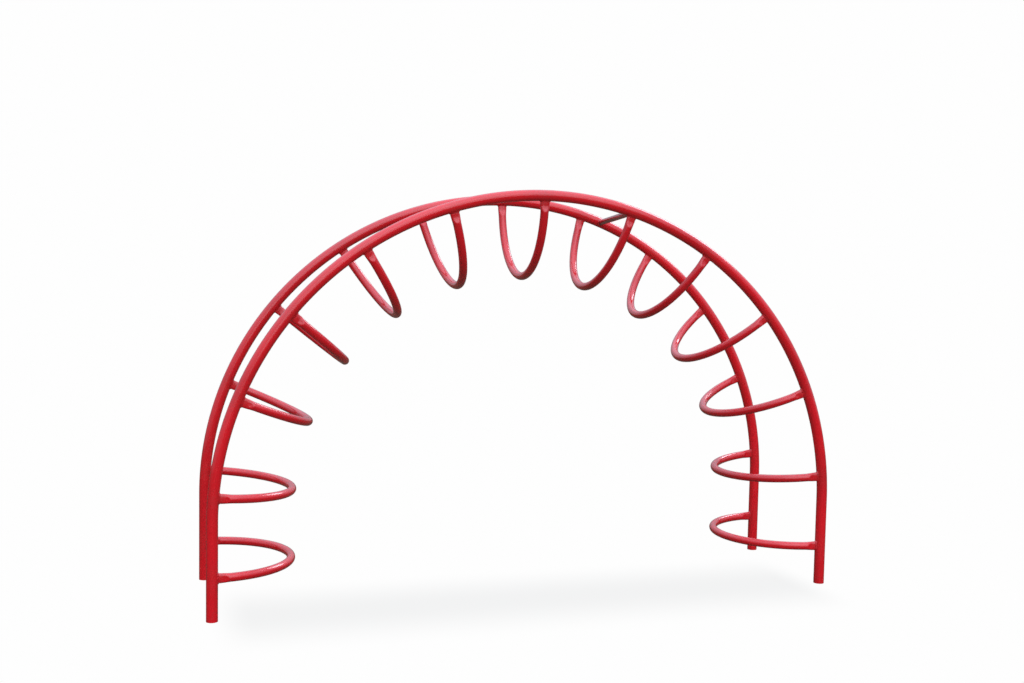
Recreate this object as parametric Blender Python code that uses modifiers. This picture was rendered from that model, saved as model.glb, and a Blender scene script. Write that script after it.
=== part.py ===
"""Arched loop climber: two bent rails, thirteen hanging rung loops and a spreader bar.

Metres, +Z up. X runs along the span and Y across the rails. The origin is on the ground,
midway between the four feet.
"""
import math

import bmesh
import bpy
import numpy as np
from mathutils import Vector

# Rails
RAIL_OD = 0.0445
RAIL_WALL = 0.0032
RAIL_GAP = 0.622            # between the two rail centrelines
HALF_SPAN = 1.285           # from the middle to a leg's centreline
LEG_HEIGHT = 0.371          # straight leg below the arch
ARCH_RISE = 1.265           # top of the arch above the straight legs

# Rung loops, hung from the inner side of the rails
LOOP_OD = 0.0334
LOOP_WALL = 0.0027
LOOP_PITCH = 0.381          # along the rail
LOOP_END_PITCH = 0.305      # from the last but one loop to the lowest
LOOPS_PER_SIDE = 6          # besides the one at the top
LOOP_DEPTH = 0.327          # rail centreline to the centreline at the tip
LOOP_SHAPE = 0.970          # power of the sine along the depth: 1 is a plain half ellipse

# Pinched ends of a loop's tube, where it lands on the rail
PINCH_WIDTH = 0.0395        # along the rail
PINCH_THICKNESS = 0.0150    # across the rail
PINCH_START = 0.036         # below this depth the tube is fully pinched
PINCH_END = 0.066           # from this depth on the tube is round

# Spreader bar, right of the top and slanted
BAR_OD = 0.0254
BAR_WALL = 0.0026
BAR_FRONT_STATION = LOOP_PITCH
BAR_REAR_STATION = 1.25 * LOOP_PITCH

# Weld beads
WELD_RADIUS = 0.0030
WELD_CLEARANCE = 0.0011

GAP = 0.0003                # between pieces that touch
SEGMENTS_PER_PITCH = 4      # straight facets of a rail in one loop pitch
RAIL_SIDES = 10
LOOP_SIDES = 8
BAR_SIDES = 10
WELD_SIDES = 4
WELD_POINTS = 12
LOOP_ARC_STEPS = 10

RAIL_RED = (0.56, 0.012, 0.026, 1.0)
LOOP_RED = (0.53, 0.012, 0.026, 1.0)
BAR_RED = (0.40, 0.011, 0.020, 1.0)
WELD_RED = (0.50, 0.014, 0.026, 1.0)


def clear_scene():
    """Remove every object."""
    for obj in list(bpy.data.objects):
        bpy.data.objects.remove(obj, do_unlink=True)


def make_collection(name):
    """Make a collection under the scene's own."""
    collection = bpy.data.collections.new(name)
    bpy.context.scene.collection.children.link(collection)
    return collection


def paint(name, colour, roughness):
    """Make a plain glossy paint material."""
    material = bpy.data.materials.new(name)
    material.use_nodes = True
    shader = material.node_tree.nodes["Principled BSDF"]
    shader.inputs["Base Color"].default_value = colour
    shader.inputs["Roughness"].default_value = roughness
    shader.inputs["Metallic"].default_value = 0.0
    return material


def tube(name, points, diameter, sides, collection, closed=False, capped=False):
    """Sweep a round tube along points and return it as a mesh object."""
    curve = bpy.data.curves.new(name, "CURVE")
    curve.dimensions = "3D"
    curve.bevel_depth = diameter / 2
    curve.bevel_resolution = (sides - 4) // 2
    curve.use_fill_caps = capped
    spline = curve.splines.new("POLY")
    spline.points.add(len(points) - 1)
    for spot, point in zip(spline.points, points):
        spot.co = (point[0], point[1], point[2], 1.0)
    spline.use_cyclic_u = closed
    swept = bpy.data.objects.new(name, curve)
    collection.objects.link(swept)
    evaluated = swept.evaluated_get(bpy.context.evaluated_depsgraph_get())
    mesh = bpy.data.meshes.new_from_object(evaluated)
    mesh.name = name
    bpy.data.objects.remove(swept, do_unlink=True)
    bpy.data.curves.remove(curve)
    work = bmesh.new()
    work.from_mesh(mesh)
    bmesh.ops.remove_doubles(work, verts=work.verts, dist=0.00001)
    bmesh.ops.recalc_face_normals(work, faces=work.faces)
    work.to_mesh(mesh)
    work.free()
    mesh.shade_smooth()
    obj = bpy.data.objects.new(name, mesh)
    collection.objects.link(obj)
    return obj


def hollow(obj, wall):
    """Give an open tube its wall, inwards from its outer surface."""
    shell = obj.modifiers.new("wall", "SOLIDIFY")
    shell.thickness = wall
    shell.offset = -1.0
    shell.use_even_offset = True
    shell.use_rim = True


def cope(obj, cutters):
    """Cut the ends of a tube to the rails that it lands on."""
    for cutter in cutters:
        cut = obj.modifiers.new("cope", "BOOLEAN")
        cut.operation = "DIFFERENCE"
        cut.solver = "EXACT"
        cut.object = cutter


def arch_outline():
    """Return arc lengths from the top, and the x and z of a rail's centreline there."""
    angles = np.linspace(-math.pi / 2, math.pi / 2, 2001)
    x = HALF_SPAN * np.sin(angles)
    z = LEG_HEIGHT + ARCH_RISE * np.cos(angles)
    x = np.concatenate([[-HALF_SPAN], x, [HALF_SPAN]])
    z = np.concatenate([[0.0], z, [0.0]])
    steps = np.hypot(np.diff(x), np.diff(z))
    lengths = np.concatenate([[0.0], np.cumsum(steps)])
    return lengths - lengths[-1] / 2, x, z


def rail_stations():
    """Return the arc lengths of a rail's corners: facets are centred on the loops."""
    facet = LOOP_PITCH / SEGMENTS_PER_PITCH
    lengths, _, _ = arch_outline()
    foot = lengths[-1]
    spring = foot - LEG_HEIGHT
    count = int(spring / facet - 0.5)
    side = [(step + 0.5) * facet for step in range(count + 1)] + [spring, foot]
    return [-length for length in reversed(side)] + side


def rail_corners():
    """Return a rail's corners as x and z, with the arc length of each."""
    lengths, x, z = arch_outline()
    stations = np.array(rail_stations())
    return stations, np.interp(stations, lengths, x), np.interp(stations, lengths, z)


def rail_frame(station):
    """Return the point, direction and outward normal of the rail's facet at a station."""
    stations, x, z = rail_corners()
    point = Vector((np.interp(station, stations, x), 0.0, np.interp(station, stations, z)))
    facet = int(np.searchsorted(stations, station)) - 1
    along = Vector((x[facet + 1] - x[facet], 0.0, z[facet + 1] - z[facet])).normalized()
    outward = along.cross(Vector((0.0, 1.0, 0.0)))
    return point, along, outward


def rail_points(y):
    """Return a rail's corners at one side of the climber."""
    _, x, z = rail_corners()
    return [(px, y, pz) for px, pz in zip(x, z)]


def loop_centreline(turn):
    """Return the y and depth of a loop's centreline at a turn from 0 to pi."""
    return RAIL_GAP / 2 * math.cos(turn), LOOP_DEPTH * math.sin(turn) ** LOOP_SHAPE


def turn_at_depth(depth):
    """Return the turn, on the +y side, where a loop reaches a depth."""
    return math.asin((depth / LOOP_DEPTH) ** (1 / LOOP_SHAPE))


def loop_points():
    """Return a loop's centreline, hanging below a rail axis at z = 0."""
    ends = [0.0, PINCH_START, (PINCH_START + PINCH_END) / 2]
    first = turn_at_depth(PINCH_END)
    turns = [turn_at_depth(depth) for depth in ends]
    for step in range(LOOP_ARC_STEPS + 1):
        turns.append(first + (math.pi - 2 * first) * step / LOOP_ARC_STEPS)
    turns += [math.pi - turn_at_depth(depth) for depth in reversed(ends)]
    points = []
    for turn in turns:
        y, depth = loop_centreline(turn)
        points.append((0.0, y, -depth))
    return points


def pinch(mesh):
    """Flatten both ends of a loop's tube: wide along the rail and thin across it."""
    for vertex in mesh.vertices:
        depth = max(-vertex.co.z, 0.0)
        if depth >= PINCH_END:
            continue
        part = min(max((PINCH_END - depth) / (PINCH_END - PINCH_START), 0.0), 1.0)
        blend = part * part * (3.0 - 2.0 * part)
        leg_y = math.copysign(loop_centreline(turn_at_depth(depth))[0], vertex.co.y)
        wide = 1.0 + blend * (PINCH_WIDTH / LOOP_OD - 1.0)
        thin = 1.0 + blend * (PINCH_THICKNESS / LOOP_OD - 1.0)
        vertex.co.x *= wide
        vertex.co.y = leg_y + (vertex.co.y - leg_y) * thin


def weld_bead(name, foot, along, outward, half_along, half_across, material, collection):
    """Lay a bead round a tube's end, in the corner between the tube and the rail."""
    across = outward.cross(along)
    reach = WELD_RADIUS + WELD_CLEARANCE
    ride = RAIL_OD / 2 + reach
    points = []
    for step in range(WELD_POINTS):
        angle = math.tau * step / WELD_POINTS
        side = (half_across + reach) * math.sin(angle)
        forward = (half_along + reach) * math.cos(angle)
        height = math.sqrt(ride * ride - side * side)
        points.append(foot + along * forward + across * side + outward * height)
    bead = tube(name, points, 2 * WELD_RADIUS, WELD_SIDES, collection, closed=True)
    bead.data.materials.append(material)


def build_rails(material, collection):
    """Bend the two rails."""
    for name, y in (("front_rail", -RAIL_GAP / 2), ("rear_rail", RAIL_GAP / 2)):
        rail = tube(name, rail_points(y), RAIL_OD, RAIL_SIDES, collection)
        hollow(rail, RAIL_WALL)
        rail.data.materials.append(material)


def build_rail_cutters(collection):
    """Make the two rails as solid cutters, larger by the gap that touching pieces keep."""
    cutters = []
    for name, y in (("front_rail_cutter", -RAIL_GAP / 2), ("rear_rail_cutter", RAIL_GAP / 2)):
        cutter = tube(name, rail_points(y), RAIL_OD + 2 * GAP, RAIL_SIDES, collection, capped=True)
        cutter.hide_render = True
        cutter.display_type = "WIRE"
        cutters.append(cutter)
    return cutters


def loop_stations():
    """Return the loops' arc lengths along the rail, from the left foot to the right."""
    side = [LOOP_PITCH * step for step in range(1, LOOPS_PER_SIDE)]
    side.append(side[-1] + LOOP_END_PITCH)
    return [-length for length in reversed(side)] + [0.0] + side


def build_loops(loop_paint, weld_paint, cutters, collection):
    """Hang the rung loops and weld both ends of each."""
    pattern = tube("rung_loop", loop_points(), LOOP_OD, LOOP_SIDES, collection)
    mesh = pattern.data
    bpy.data.objects.remove(pattern, do_unlink=True)
    pinch(mesh)
    mesh.materials.append(loop_paint)
    weld_depth = RAIL_OD / 2 + WELD_RADIUS
    lean = RAIL_GAP / 2 - loop_centreline(turn_at_depth(weld_depth))[0]
    for number, station in enumerate(loop_stations(), start=1):
        foot, along, outward = rail_frame(station)
        loop = bpy.data.objects.new(f"rung_loop_{number:02d}", mesh)
        loop.location = foot
        loop.rotation_euler = (0.0, math.atan2(-along.z, along.x), 0.0)
        collection.objects.link(loop)
        hollow(loop, LOOP_WALL)
        cope(loop, cutters)
        for side, sign in (("front", -1.0), ("rear", 1.0)):
            leg_foot = foot + Vector((0.0, sign * RAIL_GAP / 2, 0.0))
            bead_foot = leg_foot - Vector((0.0, sign * lean, 0.0))
            weld_bead(f"weld_loop_{number:02d}_{side}", bead_foot, along, -outward,
                      PINCH_WIDTH / 2, PINCH_THICKNESS / 2, weld_paint, collection)


def build_spreader_bar(bar_paint, weld_paint, cutters, collection):
    """Fit the spreader bar, a little to the right of the top, and weld both of its ends."""
    front, front_along, _ = rail_frame(BAR_FRONT_STATION)
    rear, rear_along, _ = rail_frame(BAR_REAR_STATION)
    front.y = -RAIL_GAP / 2
    rear.y = RAIL_GAP / 2
    bar = tube("spreader_bar", [front, rear], BAR_OD, BAR_SIDES, collection)
    hollow(bar, BAR_WALL)
    cope(bar, cutters)
    bar.data.materials.append(bar_paint)
    run = (rear - front) / (rear.y - front.y)
    weld_height = RAIL_OD / 2 + WELD_RADIUS
    ends = (("front", front, front_along, 1.0), ("rear", rear, rear_along, -1.0))
    for side, end, along, inward in ends:
        facing = Vector((0.0, inward, 0.0))
        slide = along * (run * inward * weld_height).dot(along)
        weld_bead(f"weld_spreader_{side}", end + slide, along, facing,
                  BAR_OD / 2, BAR_OD / 2, weld_paint, collection)


def main():
    """Build the climber."""
    clear_scene()
    climber = make_collection("loop_arch_climber")
    tools = make_collection("cutters")
    rail_paint = paint("rail_paint", RAIL_RED, 0.28)
    loop_paint = paint("loop_paint", LOOP_RED, 0.28)
    bar_paint = paint("bar_paint", BAR_RED, 0.32)
    weld_paint = paint("weld_paint", WELD_RED, 0.36)
    cutters = build_rail_cutters(tools)
    build_rails(rail_paint, climber)
    build_loops(loop_paint, weld_paint, cutters, climber)
    build_spreader_bar(bar_paint, weld_paint, cutters, climber)


main()
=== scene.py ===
"""Looks of the loop arch climber: smooth painted tubes, pinched tube ends and weld beads."""

import math

import bmesh
import bpy
import numpy as np
from mathutils import Matrix, Vector


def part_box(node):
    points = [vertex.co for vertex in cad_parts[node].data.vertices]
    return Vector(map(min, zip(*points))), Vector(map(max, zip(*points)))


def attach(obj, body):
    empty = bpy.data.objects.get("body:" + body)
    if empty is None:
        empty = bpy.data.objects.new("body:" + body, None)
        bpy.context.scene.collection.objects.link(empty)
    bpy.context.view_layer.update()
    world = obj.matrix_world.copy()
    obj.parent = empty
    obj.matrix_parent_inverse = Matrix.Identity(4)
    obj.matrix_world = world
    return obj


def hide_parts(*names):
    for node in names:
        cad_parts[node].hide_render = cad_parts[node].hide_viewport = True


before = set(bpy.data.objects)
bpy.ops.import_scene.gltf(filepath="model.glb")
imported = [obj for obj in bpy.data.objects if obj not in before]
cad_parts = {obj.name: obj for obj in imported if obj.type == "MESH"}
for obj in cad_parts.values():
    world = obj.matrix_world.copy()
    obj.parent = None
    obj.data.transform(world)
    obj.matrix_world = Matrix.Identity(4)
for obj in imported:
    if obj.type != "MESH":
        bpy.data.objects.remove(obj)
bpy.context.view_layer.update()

# The climber's sizes in metres, as the CAD has them
RAIL_OD = 0.0445
RAIL_WALL = 0.0032
LOOP_OD = 0.0334
LOOP_WALL = 0.0027
BAR_OD = 0.0254
BAR_WALL = 0.0026
LEG_HEIGHT = 0.371
LOOP_PITCH = 0.381
LOOP_END_PITCH = 0.305
LOOPS_PER_SIDE = 6
LOOP_DEPTH = 0.327
LOOP_SHAPE = 0.970          # power of the sine along a loop's depth
BAR_FRONT_STATION = LOOP_PITCH
BAR_REAR_STATION = 1.25 * LOOP_PITCH

# Pinched tube ends
PINCH_HALF_WIDTH = 0.0192
PINCH_HALF_THICKNESS = 0.0074
PINCH_START = 0.038         # depth below the rail's axis where the flat part ends
PINCH_END = 0.066           # depth where the tube is round again
FLARE_START = PINCH_START - 0.010       # the tube is widened a little further than it is thinned
FLARE_END = PINCH_END + 0.006
BEND_START = PINCH_END + 0.030          # depth from which the section turns with the bend
PINCH_FLATNESS = 3.6        # power of the flattened section: 2 is an ellipse
PINCH_DIMPLE = 0.22
DIMPLE_WIDTH = 0.45         # part of the tube's half width

# Weld beads
BEAD_LEG = 0.0035
BEAD_PITCH = 0.0042         # from one ripple to the next
BEAD_RIPPLE = 0.10          # height of a ripple, as a part of the bead's leg
BEAD_UNEVEN = 0.10          # spread of the ripples' sizes
BEAD_BULGE = 0.74           # weight of the corner in the bead's curved face
BEAD_LAG = 0.55             # how far a ripple's edges lie behind its middle, in ripples
BEAD_ROOT = 0.0010          # how far the bead reaches into the tube's skin
BEAD_ROOT_IN_RAIL = 0.0012  # and into the rail's

# From the frame
FRONT_LOW, FRONT_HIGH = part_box("front_rail")
REAR_LOW, REAR_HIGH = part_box("rear_rail")
FRONT_Y = (FRONT_LOW[1] + FRONT_HIGH[1]) / 2
REAR_Y = (REAR_LOW[1] + REAR_HIGH[1]) / 2
RAIL_GAP = REAR_Y - FRONT_Y
GROUND = FRONT_LOW[2]
HALF_SPAN = (FRONT_HIGH[0] - FRONT_LOW[0] - RAIL_OD) / 2
ARCH_RISE = 1.265

# Where dirt and painted shade darken the joints, and where paint is rubbed: full at the first
# distance, none at the second
RAIL_DIRT_AND_SHADE = 0.55           # on a rail beside a loop's end
RAIL_DIRT_AND_SHADE_REACH = (0.018, 0.050)
TUBE_DIRT_AND_SHADE = 0.8            # on a loop or bar beside its bead
LOOP_DIRT_AND_SHADE_DEPTHS = (0.028, 0.050)
BAR_DIRT_AND_SHADE_RINGS = 2.0
BEAD_DIRT_AND_SHADE = 0.5
LOOP_RUB_DEPTHS = (0.22, 0.325)         # no rubbing at the first depth, full at the second

# How finely the meshes are cut
ARCH_SAMPLES = 4001
RAIL_SIDES = 40
LOOP_SIDES = 32
BAR_SIDES = 32
ARC_STEPS = 220             # rings of a rail along its arch
LEG_STEPS = 8
BEND_STEPS = 64             # rings of a loop below its pinched ends
BAR_STEPS = 40
BEAD_ARC_STEPS = 7
OUTLINE_STEPS = 128         # corners of the outline that a bead follows
SHARP_ANGLE = 42.0          # degrees: edges above it are shaded sharp
SINK = 0.0006               # how far a tube's end reaches into the rail's skin

# Depths below the rail's axis at which a pinched tube end has a ring
PINCH_DEPTHS = (
    0.0280, 0.0320, 0.0360, 0.0385, 0.0410, 0.0435, 0.0460, 0.0485,
    0.0510, 0.0540, 0.0570, 0.0600, 0.0630, 0.0660, 0.0700, 0.0760)

# Paint
PAINT_IOR = 1.52
COAT_IOR = 1.60
COAT_WEIGHT = 0.85
COAT_ROUGHNESS = 0.09
SOILED_ROUGHNESS = 0.65
PEEL_HEIGHT = 0.00012
WAVE_STRENGTH = 0.14
WAVE_HEIGHT = 0.0005
SPLASH_HEIGHTS = (0.085, 0.004)         # above the ground: no splashes, and all of them
DUST = (0.62, 0.50, 0.46, 1.0)
# Dark brown for soil splashes near the ground, and for the dirt and painted shade at the joints.
SOIL_AND_SHADE = (0.085, 0.050, 0.036, 1.0)
RAIL_RED = (0.620, 0.0050, 0.0130, 1.0)
LOOP_RED = (0.590, 0.0050, 0.0130, 1.0)
# The bar's red is the rails' paint with painted shade: darkened as if the bar lay in shadow.
BAR_SHADED_RED = (0.300, 0.0060, 0.0100, 1.0)
WELD_RED = (0.530, 0.0055, 0.0130, 1.0)

# Floor, backdrop and sky
FLOOR_WHITE = (0.991, 0.991, 0.991, 1.0)
# A soft grey shadow painted on the floor under the climber, in place of a cast shadow.
FLOOR_SHADE = (0.890, 0.893, 0.896, 1.0)
FLOOR_BOUNCE = (0.085, 0.062, 0.045, 1.0)
FLOOR_REACH = 60.0
SHADE_X = (0.0, HALF_SPAN - 0.16, 0.18)       # middle, flat half width, soft edge
SHADE_Y = (FRONT_Y + 0.03, 0.02, 0.46)
SKY_STRENGTH = 1.6
SKY = (
    (0.00, (0.21, 0.20, 0.22, 1.0)),
    (0.30, (0.30, 0.285, 0.34, 1.0)),
    (0.62, (0.60, 0.58, 0.70, 1.0)),
    (1.00, (0.92, 0.89, 1.07, 1.0)))
SUN_COLOUR = (1.0, 0.95, 1.04)

# Camera
LENS = 43.77
CAMERA_SPOT = (-1.5231, -5.0404, 1.4147)
CAMERA_TURN = (16.453, 4.164, 1.078)          # yaw, pitch and roll in degrees


# ---------------------------------------------------------------- shapes

def arch_table():
    """Return arc lengths from the top, and the x and z of a rail's centreline there."""
    angles = np.linspace(-math.pi / 2, math.pi / 2, ARCH_SAMPLES)
    x = np.concatenate([[-HALF_SPAN], HALF_SPAN * np.sin(angles), [HALF_SPAN]])
    z = LEG_HEIGHT + ARCH_RISE * np.cos(angles)
    z = GROUND + np.concatenate([[0.0], z, [0.0]])
    steps = np.hypot(np.diff(x), np.diff(z))
    lengths = np.concatenate([[0.0], np.cumsum(steps)])
    return lengths - lengths[-1] / 2, x, z


ARCH_LENGTHS, ARCH_X, ARCH_Z = arch_table()
FOOT_STATION = ARCH_LENGTHS[-1]


def rail_frame(station):
    """Return the point, direction and outward normal of a rail's centreline, at y = 0."""
    reach = 0.004
    near = max(station - reach, -FOOT_STATION)
    far = min(station + reach, FOOT_STATION)
    x, x_near, x_far = (float(np.interp(s, ARCH_LENGTHS, ARCH_X)) for s in (station, near, far))
    z, z_near, z_far = (float(np.interp(s, ARCH_LENGTHS, ARCH_Z)) for s in (station, near, far))
    along = Vector((x_far - x_near, 0.0, z_far - z_near)).normalized()
    outward = along.cross(Vector((0.0, 1.0, 0.0)))
    return Vector((x, 0.0, z)), along, outward


def loop_stations():
    """Return the loops' places along the rail, from the left foot to the right."""
    side = [LOOP_PITCH * step for step in range(1, LOOPS_PER_SIDE)]
    side.append(side[-1] + LOOP_END_PITCH)
    return [-length for length in reversed(side)] + [0.0] + side


def smooth(value, low, high):
    """Rise smoothly from 0 at low to 1 at high."""
    part = min(max((value - low) / (high - low), 0.0), 1.0)
    return part * part * (3.0 - 2.0 * part)


def skin(name, rings, closed_ends=True, cyclic=False, marks=None):
    """Make a mesh from rings of points; the last ring joins the first if cyclic."""
    count = len(rings)
    sides = len(rings[0])
    points = np.asarray(rings, dtype=float).reshape(-1, 3)
    faces = []
    for ring in range(count if cyclic else count - 1):
        here = ring * sides
        there = ((ring + 1) % count) * sides
        for side in range(sides):
            after = (side + 1) % sides
            faces.append((here + side, here + after, there + after, there + side))
    if closed_ends and not cyclic:
        faces.append(tuple(reversed(range(sides))))
        faces.append(tuple(range((count - 1) * sides, count * sides)))
    mesh = bpy.data.meshes.new(name)
    mesh.from_pydata(points.tolist(), [], faces)
    work = bmesh.new()
    work.from_mesh(mesh)
    bmesh.ops.recalc_face_normals(work, faces=work.faces)
    work.to_mesh(mesh)
    work.free()
    for mark, values in (marks or {}).items():
        layer = mesh.attributes.new(mark, "FLOAT", "POINT")
        layer.data.foreach_set("value", np.asarray(values, dtype=np.float32).ravel())
    mesh.shade_smooth()
    mesh.set_sharp_from_angle(angle=math.radians(SHARP_ANGLE))
    obj = bpy.data.objects.new(name, mesh)
    bpy.context.scene.collection.objects.link(obj)
    return obj


def hollow_rings(outer, inner):
    """Return one closed chain of rings: out along the outside and back along the inside."""
    return list(outer) + [ring for ring in reversed(inner)]


# ---------------------------------------------------------------- tubes

def build_rail(name, node, y):
    """Bend one rail: a smooth hollow tube, cut square at both feet."""
    arc_end = FOOT_STATION - LEG_HEIGHT
    leg = [arc_end + LEG_HEIGHT * step / LEG_STEPS for step in range(1, LEG_STEPS + 1)]
    arc = list(np.linspace(-arc_end, arc_end, ARC_STEPS + 1))
    stations = [-s for s in reversed(leg)] + arc + leg
    outer = []
    inner = []
    joint_dirt_and_shade = []
    for station in stations:
        point, along, outward = rail_frame(station)
        if abs(station) > arc_end:
            side = math.copysign(1.0, station)
            along, outward = Vector((0.0, 0.0, -side)), Vector((side, 0.0, 0.0))
        centre = Vector((point.x, y, point.z))
        across = Vector((0.0, 1.0, 0.0))
        for rings, radius in ((outer, RAIL_OD / 2), (inner, RAIL_OD / 2 - RAIL_WALL)):
            ring = []
            for side in range(RAIL_SIDES):
                angle = math.tau * side / RAIL_SIDES
                spoke = outward * (radius * math.cos(angle)) + across * (radius * math.sin(angle))
                ring.append(centre + spoke)
            rings.append(ring)
        nearest = min(abs(station - s) for s in loop_stations())
        # Beside a loop's end the rail carries dirt and painted shade at the joint.
        joint_dirt_and_shade.append(RAIL_DIRT_AND_SHADE * (1.0 - smooth(nearest, *RAIL_DIRT_AND_SHADE_REACH)))
    joint_dirt_and_shade = np.repeat(joint_dirt_and_shade + joint_dirt_and_shade[::-1], RAIL_SIDES)
    rings = hollow_rings(outer, inner)
    rail = skin(name, rings, cyclic=True, marks={"joint_dirt_and_shade": joint_dirt_and_shade, "rub": np.zeros(len(joint_dirt_and_shade))})
    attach(rail, "root")
    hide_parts(node)
    return rail


def loop_centreline(turn):
    """Return the y and depth of a loop's centreline at a turn from 0 to pi."""
    return RAIL_GAP / 2 * math.cos(turn), LOOP_DEPTH * math.sin(turn) ** LOOP_SHAPE


def turn_at_depth(depth):
    """Return the turn, on the +y side, where a loop reaches a depth."""
    return math.asin((depth / LOOP_DEPTH) ** (1 / LOOP_SHAPE))


def pinched_section(depth, wall=0.0, sides=LOOP_SIDES):
    """Return a loop tube's section at a depth as (along the rail, across it) pairs."""
    squeeze = 1.0 - smooth(depth, PINCH_START, PINCH_END)
    flare = 1.0 - smooth(depth, FLARE_START, FLARE_END)
    radius = LOOP_OD / 2
    half_width = radius + (PINCH_HALF_WIDTH - radius) * flare - wall
    half_thickness = radius + (PINCH_HALF_THICKNESS - radius) * squeeze - wall
    power = 2.0 + (PINCH_FLATNESS - 2.0) * squeeze
    dent = PINCH_DIMPLE * 4.0 * squeeze * (1.0 - squeeze)
    section = []
    for side in range(sides):
        angle = math.tau * side / sides
        cosine, sine = math.cos(angle), math.sin(angle)
        x = half_width * math.copysign(abs(cosine) ** (2.0 / power), cosine)
        hollow = 1.0 - dent * math.exp(-(x / (DIMPLE_WIDTH * half_width)) ** 2)
        section.append((x, half_thickness * sine * hollow))
    return section


def seat_depth(offset, sink=SINK):
    """Return how deep under the rail's axis its skin lies, at an offset across the rail."""
    return math.sqrt((RAIL_OD / 2) ** 2 - offset ** 2) - sink


def loop_turns():
    """Return the turns at which a loop's tube has a ring."""
    legs = [turn_at_depth(depth) for depth in PINCH_DEPTHS]
    start = legs[-1]
    bend = [start + (math.pi - 2 * start) * step / BEND_STEPS for step in range(1, BEND_STEPS)]
    return legs + bend + [math.pi - turn for turn in reversed(legs)]


def loop_ring(turn, wall):
    """Return one ring of a loop's tube in the loop's own frame, hanging down -z."""
    y, depth = loop_centreline(turn)
    nudge = 0.002
    y_near, d_near = loop_centreline(max(turn - nudge, 0.0))
    y_far, d_far = loop_centreline(min(turn + nudge, math.pi))
    run = Vector((0.0, y_far - y_near, d_near - d_far)).normalized()
    bent = Vector((1.0, 0.0, 0.0)).cross(run)
    level = Vector((0.0, math.copysign(1.0, y), 0.0))
    upright = 1.0 - smooth(depth, PINCH_END, BEND_START)
    across = (level * upright + bent * (1.0 - upright)).normalized()
    centre = Vector((0.0, y, -depth))
    return [centre + Vector((u, 0.0, 0.0)) + across * v for u, v in pinched_section(depth, wall)]


def seated_ring(turn, wall):
    """Return a loop's end ring, laid on the rail's round skin."""
    ring = loop_ring(turn, wall)
    for point in ring:
        offset = abs(point.y) - RAIL_GAP / 2
        point.z = -seat_depth(offset)
    return ring


def build_loop(number, station):
    """Bend one rung loop: a hollow tube with pinched ends that sit on the rails."""
    turns = loop_turns()
    outer = [loop_ring(turn, 0.0) for turn in turns]
    inner = [loop_ring(turn, LOOP_WALL) for turn in turns]
    first = turn_at_depth(RAIL_OD / 2)
    outer = [seated_ring(first, 0.0)] + outer + [seated_ring(math.pi - first, 0.0)]
    inner = [seated_ring(first, LOOP_WALL)] + inner + [seated_ring(math.pi - first, LOOP_WALL)]
    depths = [RAIL_OD / 2] + [loop_centreline(turn)[1] for turn in turns] + [RAIL_OD / 2]
    # Near its beads the loop carries dirt and painted shade at the joint.
    joint_dirt_and_shade = [TUBE_DIRT_AND_SHADE * (1.0 - smooth(depth, *LOOP_DIRT_AND_SHADE_DEPTHS)) for depth in depths]
    rub = [smooth(depth, *LOOP_RUB_DEPTHS) for depth in depths]
    point, along, outward = rail_frame(station)
    place = Matrix((
        (along.x, 0.0, outward.x, point.x),
        (along.y, 1.0, outward.y, point.y + (FRONT_Y + REAR_Y) / 2),
        (along.z, 0.0, outward.z, point.z),
        (0.0, 0.0, 0.0, 1.0)))
    rings = [[place @ spot for spot in ring] for ring in hollow_rings(outer, inner)]
    marks = {
        "joint_dirt_and_shade": np.repeat(joint_dirt_and_shade + joint_dirt_and_shade[::-1], LOOP_SIDES),
        "rub": np.repeat(rub + rub[::-1], LOOP_SIDES)}
    loop = skin(f"loop_{number:02d}", rings, cyclic=True, marks=marks)
    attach(loop, "root")
    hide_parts(f"rung_loop_{number:02d}")
    return loop


def bar_ends():
    """Return both ends of the spreader bar's axis, on the two rails' axes, front first."""
    front, front_along, _ = rail_frame(BAR_FRONT_STATION)
    rear, rear_along, _ = rail_frame(BAR_REAR_STATION)
    front.y = FRONT_Y
    rear.y = REAR_Y
    return front, front_along, rear, rear_along


def build_bar():
    """Make the spreader bar: a straight hollow tube, coped to both rails."""
    front, front_along, rear, _ = bar_ends()
    run = (rear - front).normalized()
    up = run.cross(front_along).normalized()
    aside = up.cross(run).normalized()
    chains = []
    for radius in (BAR_OD / 2, BAR_OD / 2 - BAR_WALL):
        rings = []
        for step in range(BAR_STEPS + 1):
            ring = []
            for side in range(BAR_SIDES):
                angle = math.tau * side / BAR_SIDES
                spoke = aside * (radius * math.cos(angle)) + up * (radius * math.sin(angle))
                height = seat_depth(radius * math.sin(angle)) / abs(run.y)
                start = front + spoke + run * (height - spoke.y / run.y)
                end = rear + spoke - run * (height + spoke.y / run.y)
                ring.append(start.lerp(end, step / BAR_STEPS))
            rings.append(ring)
        chains.append(rings)
    ends = [min(step, BAR_STEPS - step) for step in range(BAR_STEPS + 1)]
    # Near its ends the bar carries dirt and painted shade at the joint.
    joint_dirt_and_shade = [TUBE_DIRT_AND_SHADE * (1.0 - smooth(end, 0.0, BAR_DIRT_AND_SHADE_RINGS)) for end in ends]
    joint_dirt_and_shade = np.repeat(joint_dirt_and_shade + joint_dirt_and_shade[::-1], BAR_SIDES)
    marks = {"joint_dirt_and_shade": joint_dirt_and_shade, "rub": np.zeros(len(joint_dirt_and_shade))}
    bar = skin("bar", hollow_rings(*chains), cyclic=True, marks=marks)
    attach(bar, "root")
    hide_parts("spreader_bar")
    return bar


# ---------------------------------------------------------------- weld beads

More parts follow.
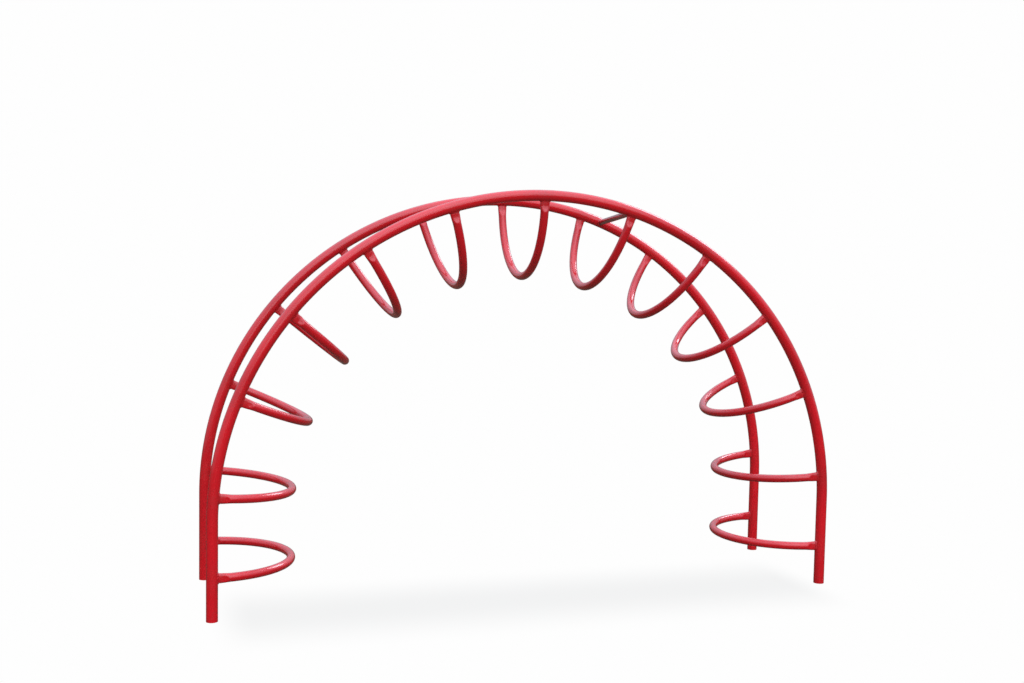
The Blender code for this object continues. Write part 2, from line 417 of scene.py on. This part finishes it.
def even_outline(outline, spacing):
    """Return points spaced evenly round a closed outline, with their outward normals."""
    corners = np.array(outline + outline[:1])
    steps = np.hypot(*np.diff(corners, axis=0).T)
    lengths = np.concatenate([[0.0], np.cumsum(steps)])
    count = int(round(lengths[-1] / spacing))
    places = np.arange(count) * lengths[-1] / count
    points = np.stack([np.interp(places, lengths, corners[:, axis]) for axis in (0, 1)], axis=1)
    runs = np.roll(points, -1, axis=0) - np.roll(points, 1, axis=0)
    normals = np.stack([runs[:, 1], -runs[:, 0]], axis=1)
    normals /= np.linalg.norm(normals, axis=1, keepdims=True)
    return points, normals, lengths[-1]


def build_bead(name, node, outline, foot, along, outward, seed):
    """Lay a rippled weld bead round a tube's end, in the corner between tube and rail."""
    points, normals, girth = even_outline(outline, BEAD_PITCH / 6)
    count = len(points)
    ripples = round(girth / BEAD_PITCH)
    across = outward.cross(along)
    random = np.random.default_rng(seed)
    sizes = 1.0 + BEAD_UNEVEN * random.standard_normal(ripples)
    rings = []
    for index, (spot, normal) in enumerate(zip(points, normals)):
        ring = []
        for step in range(BEAD_ARC_STEPS + 1):
            part = step / BEAD_ARC_STEPS
            phase = index / count * ripples - BEAD_LAG * (2.0 * part - 1.0) ** 2
            ripple = int(math.floor(phase)) % ripples
            crest = math.sqrt(max(1.0 - 0.9 * (2.0 * (phase % 1.0) - 1.0) ** 2, 0.0))
            leg = BEAD_LEG * (1.0 + 0.5 * (sizes[ripple] - 1.0))
            leg *= 1.0 + BEAD_RIPPLE * (crest - 0.7)
            out = leg * (2.0 * BEAD_BULGE * part * (1.0 - part) + part * part)
            rise = leg * (2.0 * BEAD_BULGE * part * (1.0 - part) + (1.0 - part) ** 2)
            ring.append((out, rise))
        ring.append((BEAD_LEG - BEAD_ROOT, -BEAD_ROOT_IN_RAIL))
        ring.append((-BEAD_ROOT, -BEAD_ROOT_IN_RAIL))
        ring.append((-BEAD_ROOT, BEAD_LEG - BEAD_ROOT))
        world = []
        for out, rise in ring:
            x = spot[0] + normal[0] * out
            y = spot[1] + normal[1] * out
            world.append(foot + along * x + across * y + outward * (seat_depth(y, 0.0) + rise))
        rings.append(world)
    size = len(rings[0]) * count
    # The whole bead carries some dirt and painted shade at the joint.
    marks = {"joint_dirt_and_shade": np.full(size, BEAD_DIRT_AND_SHADE), "rub": np.zeros(size)}
    bead = skin(name, rings, cyclic=True, marks=marks)
    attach(bead, "root")
    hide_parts(node)
    return bead


def build_beads():
    """Lay every weld bead."""
    beads = []
    pinched = pinched_section(RAIL_OD / 2 + BEAD_LEG / 2, sides=OUTLINE_STEPS)
    lean = RAIL_GAP / 2 - loop_centreline(turn_at_depth(RAIL_OD / 2))[0]
    for number, station in enumerate(loop_stations(), start=1):
        point, along, outward = rail_frame(station)
        for side, y, sign in (("front", FRONT_Y, 1.0), ("rear", REAR_Y, -1.0)):
            outline = [(x, offset + sign * lean) for x, offset in pinched]
            foot = Vector((point.x, y, point.z))
            # Seen along the inward normal the y axis is turned over.
            outline = [(x, -offset) for x, offset in outline][::-1]
            name = f"bead_{number:02d}_{side}"
            node = f"weld_loop_{number:02d}_{side}"
            seed = 2 * number + (side == "rear")
            beads.append(build_bead(name, node, outline, foot, along, -outward, seed))
    front, front_along, rear, rear_along = bar_ends()
    run = (rear - front).normalized()
    ends = (("front", front, front_along, 1.0), ("rear", rear, rear_along, -1.0))
    for side, end, along, inward in ends:
        facing = Vector((0.0, inward, 0.0))
        slant = run.dot(along) / abs(run.y) * inward
        outline = []
        for step in range(OUTLINE_STEPS):
            angle = math.tau * step / OUTLINE_STEPS
            y = BAR_OD / 2 * math.sin(angle)
            x = BAR_OD / 2 * math.cos(angle) / abs(run.y)
            outline.append((x + slant * (seat_depth(y, 0.0) + BEAD_LEG / 2), y))
        name = f"bead_bar_{side}"
        node = f"weld_spreader_{side}"
        beads.append(build_bead(name, node, outline, end, along, facing, 100 + len(beads)))
    return beads


# ---------------------------------------------------------------- paint

class Nodes:
    """The nodes of a material or of the world, with short ways to add and join them."""

    def __init__(self, owner, coordinates="Object"):
        owner.use_nodes = True
        self.nodes = owner.node_tree.nodes
        self.links = owner.node_tree.links
        self.place = self.nodes.new("ShaderNodeTexCoord").outputs[coordinates]

    def join(self, value, socket):
        """Set a socket to a plain number or colour, or link an output to it."""
        if isinstance(value, (float, tuple)):
            socket.default_value = value
        else:
            self.links.new(value, socket)

    def calculate(self, operation, first, second=0.0, clamp=False):
        """Return the result of a Math node."""
        node = self.nodes.new("ShaderNodeMath")
        node.operation = operation
        node.use_clamp = clamp
        self.join(first, node.inputs[0])
        self.join(second, node.inputs[1])
        return node.outputs[0]

    def times(self, first, second):
        """Return the product of two values."""
        return self.calculate("MULTIPLY", first, second)

    def plus(self, first, second):
        """Return the sum of two values, kept between 0 and 1."""
        return self.calculate("ADD", first, second, clamp=True)

    def noise(self, scale, detail=3.0, rough=0.55):
        """Return smooth noise; scale is in cells per metre."""
        node = self.nodes.new("ShaderNodeTexNoise")
        self.join(self.place, node.inputs["Vector"])
        self.join(scale, node.inputs["Scale"])
        self.join(detail, node.inputs["Detail"])
        self.join(rough, node.inputs["Roughness"])
        return node.outputs["Fac"]

    def spread(self, source, low, high, to_low=0.0, to_high=1.0):
        """Return to_low where source is low, to_high where it is high, and an eased step between."""
        node = self.nodes.new("ShaderNodeMapRange")
        node.interpolation_type = "SMOOTHSTEP"
        self.join(source, node.inputs["Value"])
        self.join(low, node.inputs["From Min"])
        self.join(high, node.inputs["From Max"])
        self.join(to_low, node.inputs["To Min"])
        self.join(to_high, node.inputs["To Max"])
        return node.outputs["Result"]

    def blend(self, under, over, part):
        """Return a mix of two colours."""
        node = self.nodes.new("ShaderNodeMix")
        node.data_type = "RGBA"
        self.join(part, node.inputs[0])
        self.join(under, node.inputs[6])
        self.join(over, node.inputs[7])
        return node.outputs[2]

    def blend_values(self, under, over, part):
        """Return a mix of two numbers."""
        node = self.nodes.new("ShaderNodeMix")
        node.data_type = "FLOAT"
        self.join(part, node.inputs[0])
        self.join(under, node.inputs[2])
        self.join(over, node.inputs[3])
        return node.outputs[0]

    def axes(self, vector):
        """Return a vector's X, Y and Z."""
        node = self.nodes.new("ShaderNodeSeparateXYZ")
        self.join(vector, node.inputs["Vector"])
        return node.outputs

    def mark(self, name):
        """Return a value that the mesh carries at its points."""
        node = self.nodes.new("ShaderNodeAttribute")
        node.attribute_name = name
        return node.outputs["Fac"]

    def bump(self, height, strength, distance, under=None):
        """Return the normal of a bumpy surface, on top of another bump's if one is given."""
        node = self.nodes.new("ShaderNodeBump")
        self.join(strength, node.inputs["Strength"])
        self.join(distance, node.inputs["Distance"])
        self.join(height, node.inputs["Height"])
        if under is not None:
            self.join(under, node.inputs["Normal"])
        return node.outputs["Normal"]

    def either(self, seen, unseen):
        """Return the first shader where it is looked at, and the second for all other light."""
        path = self.nodes.new("ShaderNodeLightPath")
        node = self.nodes.new("ShaderNodeMixShader")
        self.join(path.outputs["Is Camera Ray"], node.inputs[0])
        self.join(unseen.outputs[0], node.inputs[1])
        self.join(seen.outputs[0], node.inputs[2])
        return node.outputs[0]


def dust_cover(kit):
    """Return how much dust lies on the paint: a little, where it faces up."""
    normal = kit.nodes.new("ShaderNodeNewGeometry").outputs["Normal"]
    upward = kit.spread(kit.axes(normal)["Z"], 0.45, 1.0)
    return kit.times(upward, kit.spread(kit.noise(22.0, 5.0, 0.6), 0.42, 0.75, 0.005, 0.035))


def soil_and_shade_cover(kit):
    """Return how much soil and painted shade is on the paint: soil splashed up from the ground, and
    dirt with painted shade in the corners at the joints.
    """
    high, low = SPLASH_HEIGHTS
    splash = kit.spread(kit.axes(kit.place)["Z"], GROUND + high, GROUND + low)
    splash = kit.times(splash, kit.spread(kit.noise(90.0, 5.0, 0.7), 0.46, 0.70))
    patches = kit.spread(kit.noise(150.0, 4.0, 0.6), 0.38, 0.72, 0.10, 0.60)
    # Splashes are soil; the joints' mark is dirt and painted shade in the corners.
    return kit.plus(kit.times(splash, 0.50), kit.times(kit.mark("joint_dirt_and_shade"), patches))


def paint_colour(kit, colour, mottle, dust, soil_and_shade):
    """Return the colour: uneven on a broad and a fine scale, then dusty, soiled, darkened by painted
    shade at the joints, and rubbed.
    """
    dark = tuple(channel * 0.82 for channel in colour[:3]) + (1.0,)
    light = (min(colour[0] * 1.10, 1.0), colour[1] * 1.3, colour[2] * 1.3, 1.0)
    tone = kit.blend(dark, colour, kit.spread(kit.noise(2.6, 2.0), 0.30, 0.60))
    tone = kit.blend(tone, light, kit.times(kit.spread(kit.noise(60.0, 4.0), 0.48, 0.72), mottle))
    tone = kit.blend(tone, DUST, dust)
    # Darken towards brown: soil splashes, and dirt with painted shade at the joints.
    tone = kit.blend(tone, SOIL_AND_SHADE, kit.times(soil_and_shade, 0.50))
    rub = kit.times(kit.mark("rub"), kit.spread(kit.noise(48.0, 5.0, 0.7), 0.50, 0.70))
    return kit.blend(tone, light, kit.times(rub, 0.35))


def paint_roughness(kit, roughness, dust, soil_and_shade):
    """Return the roughness: slightly uneven, and dull where the paint is dusty or soiled."""
    clean = kit.spread(kit.noise(30.0, 4.0), 0.30, 0.75, roughness - 0.03, roughness + 0.05)
    return kit.blend_values(clean, SOILED_ROUGHNESS, kit.plus(dust, kit.times(soil_and_shade, 0.6)))


def paint_relief(kit, peel):
    """Return the normal: fine orange peel on slow waves."""
    fine = kit.bump(kit.noise(380.0, 2.0, 0.45), peel, PEEL_HEIGHT)
    return kit.bump(kit.noise(38.0, 1.0, 0.4), WAVE_STRENGTH, WAVE_HEIGHT, under=fine)


def paint_material(name, colour, roughness, peel=0.18, mottle=0.08):
    """Make a glossy powder coat with orange peel, faint mottling, dust, soil, dirt with painted
    shade at the joints, and rubbed spots.
    """
    material = bpy.data.materials.new(name)
    kit = Nodes(material)
    shader = kit.nodes["Principled BSDF"]
    shader.inputs["Metallic"].default_value = 0.0
    shader.inputs["IOR"].default_value = PAINT_IOR
    shader.inputs["Coat IOR"].default_value = COAT_IOR
    shader.inputs["Coat Weight"].default_value = COAT_WEIGHT
    shader.inputs["Coat Roughness"].default_value = COAT_ROUGHNESS
    dust = dust_cover(kit)
    soil_and_shade = soil_and_shade_cover(kit)
    kit.join(paint_colour(kit, colour, mottle, dust, soil_and_shade), shader.inputs["Base Color"])
    kit.join(paint_roughness(kit, roughness, dust, soil_and_shade), shader.inputs["Roughness"])
    kit.join(paint_relief(kit, peel), shader.inputs["Normal"])
    return material


# ---------------------------------------------------------------- surroundings

def floor_material():
    """Make the floor's look: plain white with a faint painted shadow under the climber, and earth to
    the light it returns.
    """
    material = bpy.data.materials.new("floor")
    kit = Nodes(material)
    kit.nodes.remove(kit.nodes["Principled BSDF"])
    axes = kit.axes(kit.place)
    fades = []
    # The painted shadow: full under the climber, fading out at the sides.
    for axis, (middle, flat, soft) in (("X", SHADE_X), ("Y", SHADE_Y)):
        offset = kit.calculate("SUBTRACT", axes[axis], middle)
        fades.append(kit.spread(kit.calculate("ABSOLUTE", offset), flat + soft, flat))
    plain = kit.nodes.new("ShaderNodeEmission")
    kit.join(kit.blend(FLOOR_WHITE, FLOOR_SHADE, kit.times(*fades)), plain.inputs["Color"])
    earth = kit.nodes.new("ShaderNodeBsdfDiffuse")
    kit.join(FLOOR_BOUNCE, earth.inputs["Color"])
    kit.join(kit.either(plain, earth), kit.nodes["Material Output"].inputs["Surface"])
    return material


def build_floor():
    """Lay the plain white floor, with a faint shadow painted under the climber. It sends little
    light back up.
    """
    mesh = bpy.data.meshes.new("floor")
    signs = ((-1, -1), (1, -1), (1, 1), (-1, 1))
    corners = [(x * FLOOR_REACH, y * FLOOR_REACH, GROUND) for x, y in signs]
    mesh.from_pydata(corners, [], [(0, 1, 2, 3)])
    floor = bpy.data.objects.new("floor", mesh)
    bpy.context.scene.collection.objects.link(floor)
    mesh.materials.append(floor_material())


def build_sky():
    """Light everything softly from above, with a plain white backdrop."""
    world = bpy.data.worlds.new("studio")
    bpy.context.scene.world = world
    world.use_nodes = True
    world.node_tree.nodes.clear()
    kit = Nodes(world, "Generated")
    ramp = kit.nodes.new("ShaderNodeValToRGB")
    stops = ramp.color_ramp.elements
    stops[0].position, stops[0].color = SKY[0]
    stops[1].position, stops[1].color = SKY[-1]
    for position, colour in SKY[1:-1]:
        stops.new(position).color = colour
    kit.join(kit.axes(kit.place)["Z"], ramp.inputs["Fac"])
    soft = kit.nodes.new("ShaderNodeBackground")
    kit.join(SKY_STRENGTH, soft.inputs["Strength"])
    kit.join(ramp.outputs["Color"], soft.inputs["Color"])
    white = kit.nodes.new("ShaderNodeBackground")
    kit.join(FLOOR_WHITE, white.inputs["Color"])
    output = kit.nodes.new("ShaderNodeOutputWorld")
    kit.join(kit.either(white, soft), output.inputs["Surface"])


def soft_sun(name, source, angle, strength, glints=True):
    """Add a broad, soft distant light from the direction of source, with or without glints."""
    light = bpy.data.lights.new(name, "SUN")
    light.angle = math.radians(angle)
    light.energy = strength
    light.color = SUN_COLOUR
    lamp = bpy.data.objects.new(name, light)
    lamp.rotation_mode = "QUATERNION"
    lamp.rotation_quaternion = Vector(source).to_track_quat("Z", "Y")
    lamp.visible_glossy = glints
    bpy.context.scene.collection.objects.link(lamp)


def build_lights():
    """Add the studio lights: key and fill from the front, and one from behind on the right."""
    soft_sun("key", source=(0.05, -0.88, 0.52), angle=60.0, strength=0.36)
    soft_sun("fill", source=(0.00, -0.93, 0.36), angle=60.0, strength=1.70, glints=False)
    soft_sun("back_right", source=(0.85, 0.45, 0.75), angle=24.0, strength=0.75)


def build_camera():
    """Look from the front left, at about eye height."""
    camera = bpy.data.cameras.new("camera")
    camera.lens = LENS
    camera.sensor_width = 36.0
    camera.clip_end = 200.0
    holder = bpy.data.objects.new("camera", camera)
    yaw, pitch, roll = (math.radians(angle) for angle in CAMERA_TURN)
    turn = Matrix.Rotation(-yaw, 4, "Z") @ Matrix.Rotation(math.pi / 2 - pitch, 4, "X")
    turn = turn @ Matrix.Rotation(roll, 4, "Z")
    holder.matrix_world = Matrix.Translation(CAMERA_SPOT) @ turn
    bpy.context.scene.collection.objects.link(holder)
    bpy.context.scene.camera = holder


def build_climber():
    """Build every piece and paint it."""
    rail_paint = paint_material("rail_paint_look", RAIL_RED, roughness=0.24)
    loop_paint = paint_material("loop_paint_look", LOOP_RED, roughness=0.24)
    # The bar's paint is darker by painted shade.
    bar_paint = paint_material("bar_paint_look", BAR_SHADED_RED, roughness=0.28)
    weld_paint = paint_material(
        "weld_paint_look", WELD_RED, roughness=0.30, peel=0.35, mottle=0.15)
    for name, node, y in (("rail_front", "front_rail", FRONT_Y), ("rail_rear", "rear_rail", REAR_Y)):
        build_rail(name, node, y).data.materials.append(rail_paint)
    for number, station in enumerate(loop_stations(), start=1):
        build_loop(number, station).data.materials.append(loop_paint)
    build_bar().data.materials.append(bar_paint)
    for bead in build_beads():
        bead.data.materials.append(weld_paint)


bpy.context.scene.view_settings.view_transform = "Standard"
build_climber()
build_floor()
build_sky()
build_lights()
build_camera()
